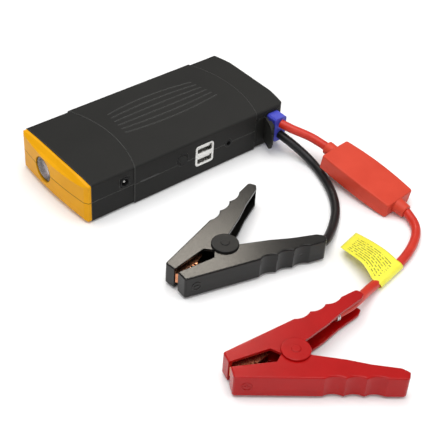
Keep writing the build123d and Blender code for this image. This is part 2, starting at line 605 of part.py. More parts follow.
def half_face():
    """One half seen from above with its outer edge level, the pivot at (0, 0)."""
    grip_end = GRIP_START + GRIPS * GRIP_PITCH
    outline = Polyline((GRIP_START, HALF_DEPTH), (TIP_X, HALF_DEPTH), (TIP_INNER_X, TIP_INNER_Y),
                       (-11.5, 8.9), (-8.4, 2.6), (0, 0), (9.5, 3.4), (28.5, 6.6), (43, 10.2),
                       (HANDLE_END - 3.6, 13.0), (HANDLE_END, 15.4), (HANDLE_END - 1.2, HALF_DEPTH - 0.2),
                       (grip_end, HALF_DEPTH - 0.2))
    for index in range(GRIPS):
        start = GRIP_START + index * GRIP_PITCH
        end_y = HALF_DEPTH - 0.2 if index == GRIPS - 1 else HALF_DEPTH
        outline += ThreePointArc((start, HALF_DEPTH), (start + 0.38 * GRIP_PITCH, HALF_DEPTH - GRIP_DEPTH),
                                 (start + GRIP_PITCH, end_y))
    face = make_face(outline)
    face = fillet(corner_nearest(face, TIP_X, HALF_DEPTH), 1.6)
    face = fillet(corner_nearest(face, HANDLE_END - 1.2, HALF_DEPTH - 0.2), 2.6)
    return fillet(corner_nearest(face, HANDLE_END, 15.4), 1.2)


def outer_rims(body):
    """The long outer edges of a half, top and bottom, past the tip and along the grips."""
    def wanted(edge):
        middle = edge.center()
        level = abs(middle.Z) < 0.01 or abs(middle.Z - CLAMP_THICK) < 0.01
        return level and middle.Y > 18
    return body.edges().filter_by(wanted)


def half_block():
    body = slab(half_face(), 0, CLAMP_THICK)
    return fillet(outer_rims(body), 0.9)


def channel(end):
    return block(TIP_X + 0.9, end, -30, HALF_DEPTH - CLAMP_SPINE, CLAMP_WALL, CLAMP_THICK - CLAMP_WALL)


def both_levels(shape):
    """A flange shape at the bottom of the clamp, and its mirror image at the top."""
    return shape + Pos(0, 0, CLAMP_THICK) * mirror(shape, Plane.XY)


def polarity_mark(plus):
    """A raised ring with a bar or a cross, on the outer edge near the tip."""
    x, z, out = TIP_X + 7.8, CLAMP_THICK / 2, HALF_DEPTH + 0.35
    ring = rod_y(x, z, 3.2, HALF_DEPTH - 0.2, out) - rod_y(x, z, 2.7, HALF_DEPTH - 1, out + 1)
    bars = block(x - 1.6, x + 1.6, HALF_DEPTH - 0.2, out, z - 0.35, z + 0.35)
    if plus:
        bars += block(x - 0.35, x + 0.35, HALF_DEPTH - 0.2, out, z - 1.6, z + 1.6)
    return ring + bars


def outer_half(plus):
    """The half whose ears lie outside, directly under the pivot discs."""
    body = half_block() - channel(HANDLE_END - 3.0)
    body += both_levels(rod_z(0, 0, EAR_RADIUS, 0, CLAMP_WALL))
    body += polarity_mark(plus)
    return body - rod_z(0, 0, PIN_BORE, -1, CLAMP_THICK + 1)


def inner_half(plus):
    """The half that carries the lead, with its ears inside those of the other half."""
    body = half_block() - rod_z(0, 0, EAR_CLEAR, -1, CLAMP_THICK + 1)
    body -= channel(HANDLE_END + 5)
    ear_bottom = CLAMP_WALL + INNER_EAR_GAP
    ear_top = ear_bottom + CLAMP_WALL
    root = Polyline((-11, 10.6), (-7.0, 15), (9, 15), (15, 6.4), (9.2, 4.6), (0, 0), close=True)
    root = slab(make_face(root), 0, ear_top)
    root -= rod_z(0, 0, EAR_CLEAR, -1, ear_top + 1)
    web = Polyline((-9, 11), (-7, 15), (9, 15), (12, 6.4), (7.1, 1.5), (-6.5, 3.5), close=True)
    ear = rod_z(0, 0, EAR_RADIUS - 0.8, ear_bottom, ear_top)
    ear += slab(make_face(web), ear_bottom, ear_top) + root
    body += both_levels(ear)
    body += polarity_mark(plus)
    return body - rod_z(0, 0, PIN_RADIUS + PIN_SEAT, -1, CLAMP_THICK + 1)


def jaw(side):
    """Copper jaw of one half, in the clamp's own frame: two toothed cheeks and a back."""
    front = JAW_FRONT + 4.1
    points = []
    for index in range(TEETH):
        x = JAW_FRONT + index * TOOTH_PITCH
        points += [(x, TOOTH_GAP + TOOTH_DEPTH), (x + TOOTH_PITCH / 2, TOOTH_GAP)]
    points.append((JAW_FRONT + TEETH * TOOTH_PITCH, TOOTH_GAP + TOOTH_DEPTH))
    back = ((JAW_REAR, 9.0), (JAW_REAR, JAW_BACK), (front, JAW_BACK), (front, 12.2))
    points += [local_to_clamp(x, y, 1) for x, y in back]
    body = slab(make_face(Polyline(*points, close=True)), JAW_BOTTOM, JAW_TOP)
    pocket = block(front + 1.3, 0, -2, JAW_BACK - JAW_SHEET, JAW_BOTTOM + JAW_SHEET, JAW_TOP - JAW_SHEET)
    body -= Rot(0, 0, HALF_ANGLE) * pocket
    return body if side > 0 else mirror(body, Plane.XZ)


def crimp_tail(lead_x, lead_y, lead_z):
    """Crimp barrel on the lead's end, with a strap along the spine to the jaw's back."""
    barrel = rod_x(lead_y, lead_z, 3.0, lead_x - 9, lead_x - 0.6)
    strap = block(-30, lead_x - 3, JAW_BACK - 0.3, JAW_BACK + 1.1, 5.2, 10.8)
    return barrel + strap + block(lead_x - 8, lead_x - 3, lead_y, JAW_BACK + 0.5, 7.5, 10.0)


def spring_leg(side, reach, start):
    """One straight leg of the torsion spring, inside a handle, leaving the coil at a tangent."""
    z = CLAMP_THICK / 2 - side * COIL_PITCH
    far_x, far_y = local_to_clamp(reach, LEG_Y, side)
    bearing = atan2(far_y, far_x) + side * acos(start / hypot(far_x, far_y))
    near_x, near_y = start * cos(bearing), start * sin(bearing)
    path = Line((near_x, near_y, z), (far_x, far_y, z))
    return sweep(Plane(path @ 0, z_dir=path % 0) * Circle(WIRE_RADIUS), path=path)


def spring_coil(side):
    """Five touching turns round the pivot pin, with the leg of one side running into them."""
    coil = Pos(0, 0, CLAMP_THICK / 2) * Torus(COIL_RADIUS, WIRE_RADIUS)
    for index in (-1, 1, -2, 2):
        coil += Pos(0, 0, CLAMP_THICK / 2 + index * COIL_PITCH) * Torus(COIL_RADIUS, WIRE_RADIUS)
    return coil + spring_leg(side, 22, COIL_RADIUS)


def place_clamp(shape, clamp):
    x, y, turn = clamp
    return Pos(x, y, CLAMP_LIFT) * Rot(0, 0, turn) * shape


def turned_half(shape, side):
    shape = Rot(0, 0, HALF_ANGLE) * shape
    return shape if side > 0 else mirror(shape, Plane.XZ)


def save_clamp(colour, clamp, lead_side, lead_route, plus):
    """lead_side is +1 where the half that carries the lead is the one towards +Y."""
    placed = {}
    lead_end = clamp_to_local(lead_route[-1], clamp, lead_side)
    placed["lead_half"] = turned_half(inner_half(plus), lead_side)
    placed["free_half"] = turned_half(outer_half(plus), -lead_side)
    placed["lead_jaw"] = turned_half(crimp_tail(*lead_end), lead_side) + jaw(lead_side)
    placed["free_jaw"] = jaw(-lead_side)
    placed["pivot_pin"] = rod_z(0, 0, PIN_RADIUS, -DISC_GAP, CLAMP_THICK + DISC_GAP)
    placed["spring"] = spring_coil(lead_side)
    placed["spring_leg"] = spring_leg(-lead_side, 40, COIL_RADIUS + 2 * WIRE_RADIUS + 0.3)
    disc = rod_z(0, 0, DISC_RADIUS, CLAMP_THICK + DISC_GAP, CLAMP_THICK + DISC_GAP + DISC_THICK)
    disc = fillet(disc.edges().group_by(Axis.Z)[-1], 0.6)
    dimple = rod_z(0, 0, 2.9, CLAMP_THICK + DISC_GAP, CLAMP_THICK + DISC_GAP + DISC_THICK + 0.5)
    top_disc = disc + fillet(dimple.edges().group_by(Axis.Z)[-1], 0.4)
    bottom_disc = Pos(0, 0, CLAMP_THICK) * mirror(disc, Plane.XY)
    for name, shape in placed.items():
        shape = place_clamp(shape, clamp)
        if name == "lead_half":
            shape -= tube(lead_route, LEAD + 2 * LEAD_GROOVE)
        save(f"{colour}_clamp_{name}", shape)
    save(f"{colour}_clamp_pivot_discs", Compound([place_clamp(d, clamp) for d in (top_disc, bottom_disc)]))


# ================================================================ write everything
def save_pack():
    upper, lower = casing_halves()
    cap_upper, cap_lower = cap_halves()
    save("upper_casing", upper)
    save("lower_casing", lower)
    save("end_cap_upper", cap_upper)
    save("end_cap_lower", cap_lower)
    save("rubber_feet", Compound(feet()))
    save("casing_screws", Compound(casing_screws()))
    save("lamp_lens", lamp_lens())
    save("lamp_reflector", lamp_reflector())
    save("lamp_board", lamp_board())
    save("lamp_led", lamp_led())
    save("usb_housing", usb_housing())
    save("usb_shells", Compound(usb_shells()))
    save("usb_tongues", Compound(usb_tongues()))
    save("power_button", power_button())
    save("button_bezel", button_bezel())
    save("power_switch", power_switch())
    save("dc_input_jack", dc_input_jack())
    save("dc_input_pin", dc_input_pin())
    save("dc_output_jack", dc_output_jack())
    save("status_window", status_window())
    save("status_leds", Compound(status_leds()))
    save("main_board", main_board())
    save("board_parts", Compound(board_parts()))
    save("battery_cells", Compound(battery_cells()))
    save("cell_foam", cell_foam())
    save("cell_tabs", Compound(cell_tabs()))
    save("battery_lead_negative", battery_lead(CONTACTS_Z[0], 4, 10))
    save("battery_lead_positive", battery_lead(CONTACTS_Z[1], 22, 23))
    save("socket_housing", socket_housing())
    save("socket_contacts", Compound(socket_contacts()))
    save("cover_anchor", cover_anchor())
    save("socket_cover", socket_cover())


def save_cable():
    save("plug_housing", plug_housing())
    save("plug_contacts", Compound(plug_contacts()))
    plane = box_plane()
    upper, lower = box_halves()
    save("box_upper", plane * upper)
    save("box_lower", plane * lower)
    save("box_collar_in", plane * box_collar_in())
    save("box_collar_out", plane * box_collar_out())
    save("box_board", plane * box_board())
    save("box_relay", Compound([plane * shape for shape in box_relay()]))
    save("lead_label", label_strip())
    for name, route in (("red_lead_1", RED_LEAD_1), ("red_lead_2", RED_LEAD_2), ("black_lead", BLACK_LEAD)):
        path = FilletPolyline(*route, radius=bend_radii(route))
        lead = tube(route, LEAD)
        expected = pi * (LEAD / 2) ** 2 * path.length
        print(name, "length", round(path.length, 1), "volume ratio", round(lead.volume / expected, 4),
              "radii", [round(radius, 1) for radius in bend_radii(route)])
        save(name, lead)


os.makedirs("parts", exist_ok=True)
save_pack()
save_cable()
save_clamp("black", BLACK_CLAMP, -1, BLACK_LEAD, plus=False)
save_clamp("red", RED_CLAMP, 1, RED_LEAD_2, plus=True)
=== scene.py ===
"""Looks of the jump starter pack and its clamp cable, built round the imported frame. Metres."""
import json
from math import acos, atan2, cos, hypot, pi, radians, sin, tau

import bpy
from mathutils import Matrix, Vector
from mathutils.geometry import interpolate_bezier


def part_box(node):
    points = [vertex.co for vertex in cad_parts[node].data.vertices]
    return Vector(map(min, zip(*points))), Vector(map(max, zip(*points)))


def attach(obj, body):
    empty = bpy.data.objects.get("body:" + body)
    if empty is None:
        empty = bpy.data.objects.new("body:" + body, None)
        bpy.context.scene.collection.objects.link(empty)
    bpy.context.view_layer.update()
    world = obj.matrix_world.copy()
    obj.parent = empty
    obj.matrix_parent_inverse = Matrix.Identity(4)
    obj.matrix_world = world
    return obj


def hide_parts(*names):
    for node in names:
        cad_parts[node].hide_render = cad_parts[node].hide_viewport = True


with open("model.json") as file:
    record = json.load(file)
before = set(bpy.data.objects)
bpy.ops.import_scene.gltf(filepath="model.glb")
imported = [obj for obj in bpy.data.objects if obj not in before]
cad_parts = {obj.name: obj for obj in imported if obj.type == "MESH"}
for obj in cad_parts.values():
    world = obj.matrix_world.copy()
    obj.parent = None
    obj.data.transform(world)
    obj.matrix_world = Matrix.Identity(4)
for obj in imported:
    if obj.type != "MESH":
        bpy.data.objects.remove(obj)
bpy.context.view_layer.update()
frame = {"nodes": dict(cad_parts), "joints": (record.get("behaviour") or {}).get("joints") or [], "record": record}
NODES = frame["nodes"]
MM = 0.001


def mm(*values):
    return Vector(values) * MM


# ---------------------------------------------------------------- camera
CAMERA_PLACE = mm(-388.05, -503.23, 471.78)
CAMERA_YAW, CAMERA_PITCH, CAMERA_ROLL = radians(42.124), radians(40.116), radians(4.129)
CAMERA_LENS, CAMERA_SENSOR = 88.243, 36.0
CAMERA_NEAR, CAMERA_FAR = 0.01, 20


def make_camera():
    """Looks down by the pitch, turned by the yaw from +Y towards +X, and rolled about its view."""
    data = bpy.data.cameras.new("camera")
    data.lens, data.sensor_width = CAMERA_LENS, CAMERA_SENSOR
    data.clip_start, data.clip_end = CAMERA_NEAR, CAMERA_FAR
    ahead = Vector((sin(CAMERA_YAW) * cos(CAMERA_PITCH), cos(CAMERA_YAW) * cos(CAMERA_PITCH),
                    -sin(CAMERA_PITCH)))
    level = Vector((cos(CAMERA_YAW), -sin(CAMERA_YAW), 0))
    above = level.cross(ahead)
    right = cos(CAMERA_ROLL) * level + sin(CAMERA_ROLL) * above
    up = cos(CAMERA_ROLL) * above - sin(CAMERA_ROLL) * level
    camera = bpy.data.objects.new("camera", data)
    bpy.context.scene.collection.objects.link(camera)
    turn = Matrix((right, up, -ahead)).transposed().to_4x4()
    camera.matrix_world = Matrix.Translation(CAMERA_PLACE) @ turn
    bpy.context.scene.camera = camera


make_camera()

# ---------------------------------------------------------------- the leads
LEAD = 6.4 * MM
RED_LEAD_1 = [(75.3, -49.5, 22.2), (77.3, -57, 21.4), (82.3, -64.5, 19.6), (87.3, -73.5, 17.5),
              (89.4, -84.2, 15.65)]
RED_LEAD_2 = [(93.24, -160.9, 5.31), (91.8, -168.3, 4.1), (88.2, -174.9, 3.4), (82.2, -180.6, 3.2),
              (74.2, -185.4, 3.2), (64.5, -189.7, 3.2), (53, -193.2, 3.2), (41, -195.3, 3.2),
              (28, -197.4, 3.4), (13.5, -201.0, 6.4), (-1, -206.4, 10.8), (-13, -208.3, 11.8),
              (-24, -207.3, 11.8)]
BLACK_LEAD = [(74.8, -49.5, 13.0), (75.8, -58.5, 11.8), (79.4, -69, 7.0), (80.4, -81, 3.4),
              (76.6, -94, 3.2), (71, -108, 3.2), (63.8, -120.5, 3.2), (54.8, -131.2, 3.2),
              (44, -139.8, 3.3), (33.5, -146.8, 5.0), (24.5, -151.8, 7.6), (15.5, -153.6, 9.3),
              (5.5, -151.8, 9.6), (-5, -148.3, 9.6)]
LEAD_ROUNDNESS, LEAD_SMOOTHNESS = 10, 16


def make_lead(name, route):
    """One NURBS spline with the route's points as its control points.

    The tube's radius is the points' own, because a curve's bounding box grows by it.
    """
    data = bpy.data.curves.new(name, "CURVE")
    data.dimensions = "3D"
    data.bevel_depth, data.bevel_resolution = 1.0, LEAD_ROUNDNESS
    data.use_fill_caps = True
    spline = data.splines.new("NURBS")
    spline.points.add(len(route) - 1)
    for point, place in zip(spline.points, route):
        point.co = (*mm(*place), 1)
        point.radius = LEAD / 2
    spline.order_u = 3
    spline.use_endpoint_u = True
    spline.resolution_u = LEAD_SMOOTHNESS
    lead = bpy.data.objects.new(name, data)
    bpy.context.scene.collection.objects.link(lead)
    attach(lead, "smart_cable")
    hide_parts(name.replace("silicone_", ""))
    return lead


red_lead_1 = make_lead("silicone_red_lead_1", RED_LEAD_1)
red_lead_2 = make_lead("silicone_red_lead_2", RED_LEAD_2)
black_lead = make_lead("silicone_black_lead", BLACK_LEAD)


# ---------------------------------------------------------------- material helpers
BEVEL_SAMPLES = 4
NOISE_LOW, NOISE_HIGH = 0.3, 0.7         # most of a noise lies between these
OPEN_FACE, SHARP_CORNER = 0.985, 0.80    # dot product of the rounded normal and the face's


class Shader:
    """A node material being built: nodes by short calls, links by socket names."""

    def __init__(self, name):
        self.material = bpy.data.materials.new(name)
        self.material.use_nodes = True
        self.tree = self.material.node_tree
        self.surface = self.tree.nodes["Principled BSDF"]
        self.place = self.node("ShaderNodeTexCoord").outputs["Object"]

    def node(self, kind, **settings):
        made = self.tree.nodes.new(kind)
        for key, value in settings.items():
            setattr(made, key, value)
        return made

    def link(self, source, target):
        self.tree.links.new(source, target)

    def set(self, **values):
        """Constants go straight on the shader's sockets."""
        for key, value in values.items():
            self.surface.inputs[key.replace("_", " ")].default_value = value

    def noise(self, scale, detail, roughness=0.5, stretch=None):
        made = self.node("ShaderNodeTexNoise")
        made.inputs["Scale"].default_value = scale
        made.inputs["Detail"].default_value = detail
        made.inputs["Roughness"].default_value = roughness
        place = self.place
        if stretch:
            mapping = self.node("ShaderNodeMapping")
            mapping.inputs["Scale"].default_value = stretch
            self.link(self.place, mapping.inputs["Vector"])
            place = mapping.outputs["Vector"]
        self.link(place, made.inputs["Vector"])
        return made.outputs["Fac"]

    def map(self, value, low, high, to_low, to_high):
        made = self.node("ShaderNodeMapRange")
        limits = {"From Min": low, "From Max": high, "To Min": to_low, "To Max": to_high}
        for key, number in limits.items():
            made.inputs[key].default_value = number
        self.link(value, made.inputs["Value"])
        return made.outputs["Result"]

    def spread(self, noise, to_low, to_high):
        """The usual range of a noise, stretched from to_low to to_high."""
        return self.map(noise, NOISE_LOW, NOISE_HIGH, to_low, to_high)

    def mix(self, factor, first, second):
        made = self.node("ShaderNodeMix", data_type="RGBA")
        self.link(factor, made.inputs[0])
        for socket, colour in ((made.inputs[6], first), (made.inputs[7], second)):
            if isinstance(colour, tuple):
                socket.default_value = (*colour, 1)
            else:
                self.link(colour, socket)
        return made.outputs[2]

    def math(self, operation, first, second):
        made = self.node("ShaderNodeMath", operation=operation)
        for socket, value in zip(made.inputs, (first, second)):
            if isinstance(value, (int, float)):
                socket.default_value = value
            else:
                self.link(value, socket)
        return made.outputs[0]

    def bump(self, height, distance, edge_radius=0.0):
        """Relief from a height, on corners rounded by edge_radius."""
        made = self.node("ShaderNodeBump")
        made.inputs["Distance"].default_value = distance
        self.link(height, made.inputs["Height"])
        if edge_radius:
            bevel = self.node("ShaderNodeBevel", samples=BEVEL_SAMPLES)
            bevel.inputs["Radius"].default_value = edge_radius
            self.link(bevel.outputs["Normal"], made.inputs["Normal"])
        self.link(made.outputs["Normal"], self.surface.inputs["Normal"])

    def edges(self, radius):
        """1 on a sharp corner and 0 on open faces, from how far a rounded normal leans."""
        bevel = self.node("ShaderNodeBevel", samples=BEVEL_SAMPLES)
        bevel.inputs["Radius"].default_value = radius
        plain = self.node("ShaderNodeNewGeometry")
        dot = self.node("ShaderNodeVectorMath", operation="DOT_PRODUCT")
        self.link(bevel.outputs["Normal"], dot.inputs[0])
        self.link(plain.outputs["Normal"], dot.inputs[1])
        return self.map(dot.outputs["Value"], OPEN_FACE, SHARP_CORNER, 0.0, 1.0)


def moulded(name, colour, lighter, roughness, grain, relief, edge_radius, edge_mix=0.0,
            specular=0.5, seam=None):
    """Moulded plastic: slight colour drift, fine surface grain, corners painted paler as a highlight.

    Relief is the grain's depth, edge_mix is how strongly the corners are painted paler as a highlight,
    and a seam is the height of a parting line whose gap is painted dark as shade.
    """
    shader = Shader(name)
    drift = shader.spread(shader.noise(60.0, 3.0), 0.0, 1.0)
    tint = shader.mix(drift, colour, lighter)
    if edge_mix:
        # painted highlight: the corners are mixed towards a paler colour, standing in for light they catch
        corner_highlight_colour = tuple(min(1.0, c * 1.9 + 0.03) for c in lighter)
        corner_highlight_weight = shader.math("MULTIPLY", shader.edges(edge_radius * 1.6), edge_mix)
        tint = shader.mix(corner_highlight_weight, tint, corner_highlight_colour)
    # painted shade: a thin dark line along the parting line, where shade falls in the gap
    if seam:
        split = shader.node("ShaderNodeSeparateXYZ")
        shader.link(shader.place, split.inputs[0])
        away = shader.math("ABSOLUTE", shader.math("SUBTRACT", split.outputs[2], seam), 0.0)
        parting_gap_shade = tuple(c * 0.12 for c in colour)
        tint = shader.mix(shader.map(away, 0.15 * MM, 0.35 * MM, 0.9, 0.0), tint, parting_gap_shade)
    shader.link(tint, shader.surface.inputs["Base Color"])
    fine = shader.noise(grain, 2.0, 0.6)
    smoother, rougher = roughness * 0.85, min(1.0, roughness * 1.15)
    shader.link(shader.map(fine, 0.25, 0.75, smoother, rougher),
                shader.surface.inputs["Roughness"])
    shader.set(Specular_IOR_Level=specular)
    shader.bump(fine, relief, edge_radius)
    return shader.material


def metal(name, colour, darker, roughness, scale=900.0, stretch=None, relief=0.01 * MM):
    """Plated or stamped metal with fine drawn marks, stretched along an axis, and tarnish."""
    shader = Shader(name)
    tarnish = shader.map(shader.noise(350.0, 4.0), 0.35, 0.7, 0.0, 1.0)
    shader.link(shader.mix(tarnish, colour, darker), shader.surface.inputs["Base Color"])
    marks = shader.noise(scale, 3.0, 0.5, stretch)
    shader.link(shader.spread(marks, roughness * 0.7, roughness * 1.3),
                shader.surface.inputs["Roughness"])
    shader.set(Metallic=1.0)
    shader.bump(marks, relief, 0.12 * MM)
    return shader.material


def silicone(name, colour, lighter, roughness):
    """Silicone lead sheath: soft gloss with faint dust and a slight waviness."""
    shader = Shader(name)
    drift = shader.map(shader.noise(90.0, 3.0), 0.35, 0.7, 0.0, 1.0)
    shader.link(shader.mix(drift, colour, lighter), shader.surface.inputs["Base Color"])
    dust = shader.noise(1500.0, 2.0)
    shader.link(shader.map(dust, 0.3, 0.75, roughness, roughness * 1.35),
                shader.surface.inputs["Roughness"])
    shader.set(Specular_IOR_Level=0.3)
    shader.bump(shader.noise(500.0, 2.0), 0.03 * MM)
    return shader.material


def casing_plastic():
    """Spark-eroded black plastic: fine even grain, faint reflections, corners painted paler as a highlight."""
    shader = Shader("casing_grain")
    drift = shader.spread(shader.noise(14.0, 3.0), 0.0, 1.0)
    tint = shader.mix(drift, (0.0155, 0.0155, 0.0148), (0.020, 0.0198, 0.0188))
    # painted highlight: the casing's corners are mixed towards a pale grey
    shine = shader.math("MULTIPLY", shader.edges(0.7 * MM), 0.9)
    casing_edge_highlight = (0.13, 0.13, 0.125)
    shader.link(shader.mix(shine, tint, casing_edge_highlight), shader.surface.inputs["Base Color"])
    grain = shader.noise(2600.0, 2.0, 0.7)
    shader.link(shader.spread(grain, 0.50, 0.66), shader.surface.inputs["Roughness"])
    shader.set(Specular_IOR_Level=0.13)
    shader.bump(grain, 0.035 * MM, 0.35 * MM)
    return shader.material


LABEL_LINES = 11.0               # rows across the label, blank rows at the edges included
LINE_LOW, LINE_HIGH = 0.36, 0.72         # the part of a row that a bar fills
FIELD_LOW, FIELD_HIGH = 0.16, 0.90       # where the rows start and end across the label
FIELD_NEAR, FIELD_FAR = 0.12, 0.80       # and along it
WORD_SCALE, WORD_THRESHOLD = 34.0, 0.46  # a bar shows where the noise along its row is higher
ROW_SHIFT = 7.31                         # between the noises of two rows
INK = 0.80                               # strength of a bar


def label_film():
    """Bright yellow coated film with rows of plain dark bars where print would be."""
    shader = Shader("label_film")
    uv = shader.node("ShaderNodeUVMap")
    split = shader.node("ShaderNodeSeparateXYZ")
    shader.link(uv.outputs["UV"], split.inputs[0])
    across, along = split.outputs[0], split.outputs[1]

    def between(value, low, high):
        return shader.math("MULTIPLY", shader.math("GREATER_THAN", value, low),
                           shader.math("LESS_THAN", value, high))

    lines = shader.math("MULTIPLY", across, LABEL_LINES)
    in_line = between(shader.math("FRACT", lines, 0.0), LINE_LOW, LINE_HIGH)
    joined = shader.node("ShaderNodeCombineXYZ")
    shader.link(shader.math("MULTIPLY", along, WORD_SCALE), joined.inputs[0])
    line_number = shader.math("FLOOR", lines, 0.0)
    shader.link(shader.math("MULTIPLY", line_number, ROW_SHIFT), joined.inputs[1])
    breaks = shader.node("ShaderNodeTexNoise", noise_dimensions="2D")
    breaks.inputs["Scale"].default_value = 1.0
    shader.link(joined.outputs[0], breaks.inputs["Vector"])
    words = shader.math("GREATER_THAN", breaks.outputs["Fac"], WORD_THRESHOLD)
    field = shader.math("MULTIPLY", between(across, FIELD_LOW, FIELD_HIGH),
                        between(along, FIELD_NEAR, FIELD_FAR))
    bars = shader.math("MULTIPLY", shader.math("MULTIPLY", in_line, words), field)
    drift = shader.spread(shader.noise(120.0, 2.0), 0.0, 1.0)
    film = shader.mix(drift, (0.84, 0.79, 0.045), (0.88, 0.84, 0.065))
    shader.link(shader.mix(shader.math("MULTIPLY", bars, INK), film, (0.10, 0.09, 0.01)),
                shader.surface.inputs["Base Color"])
    shader.link(shader.spread(shader.noise(700.0, 2.0), 0.32, 0.42),
                shader.surface.inputs["Roughness"])
    shader.bump(shader.noise(160.0, 2.0), 0.04 * MM)
    return shader.material


LENS_CLEAR_RADIUS, LENS_DARK_RADIUS = 7.9 * MM, 8.7 * MM


def lens_plastic():
    """Slightly smoky lens with a moulding ripple; its edge is painted dark as the shade in the gap round it."""
    shader = Shader("lens_clear")
    low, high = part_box("lamp_lens")
    offset = shader.node("ShaderNodeVectorMath", operation="SUBTRACT")
    shader.link(shader.place, offset.inputs[0])
    offset.inputs[1].default_value = (low + high) / 2
    flat = shader.node("ShaderNodeVectorMath", operation="MULTIPLY")
    shader.link(offset.outputs[0], flat.inputs[0])
    flat.inputs[1].default_value = (0, 1, 1)
    reach = shader.node("ShaderNodeVectorMath", operation="LENGTH")
    shader.link(flat.outputs[0], reach.inputs[0])
    clear = shader.map(reach.outputs["Value"], LENS_CLEAR_RADIUS, LENS_DARK_RADIUS, 1.0, 0.0)
    ripple = shader.noise(260.0, 2.0)
    tint = shader.mix(ripple, (0.40, 0.37, 0.38), (0.52, 0.49, 0.50))
    # painted shade: an opaque dark ring at the lens edge stands for the shade in the gap round it
    lens_gap_shade = (0.03, 0.028, 0.028)
    shader.link(shader.mix(clear, lens_gap_shade, tint), shader.surface.inputs["Base Color"])
    shader.link(shader.spread(ripple, 0.02, 0.06), shader.surface.inputs["Roughness"])
    shader.link(clear, shader.surface.inputs["Transmission Weight"])
    shader.set(IOR=1.3)
    shader.bump(ripple, 0.05 * MM)
    return shader.material


def glow_die():
    """Yellow phosphor over the light-emitting die."""
    shader = Shader("led_phosphor")
    spots = shader.noise(2500.0, 2.0)
    shader.link(shader.mix(spots, (0.85, 0.75, 0.20), (0.95, 0.90, 0.55)),
                shader.surface.inputs["Base Color"])
    shader.link(shader.spread(spots, 0.3, 0.5), shader.surface.inputs["Roughness"])
    return shader.material


def circuit_resin():
    """Green solder mask with copper tracks showing through as lighter lines."""
    shader = Shader("circuit_resin")
    tracks = shader.node("ShaderNodeTexVoronoi", feature="DISTANCE_TO_EDGE", distance="MANHATTAN")
    tracks.inputs["Scale"].default_value = 220.0
    shader.link(shader.place, tracks.inputs["Vector"])
    line = shader.map(tracks.outputs["Distance"], 0.02, 0.06, 1.0, 0.0)
    shader.link(shader.mix(line, (0.012, 0.10, 0.035), (0.03, 0.19, 0.07)),
                shader.surface.inputs["Base Color"])
    shader.link(shader.map(line, 0.0, 1.0, 0.35, 0.25), shader.surface.inputs["Roughness"])
    shader.bump(line, 0.03 * MM)
    return shader.material


# ---------------------------------------------------------------- materials of the slots
PARTING_LINE = 17.0 * MM         # height at which the casing and the end cap are split

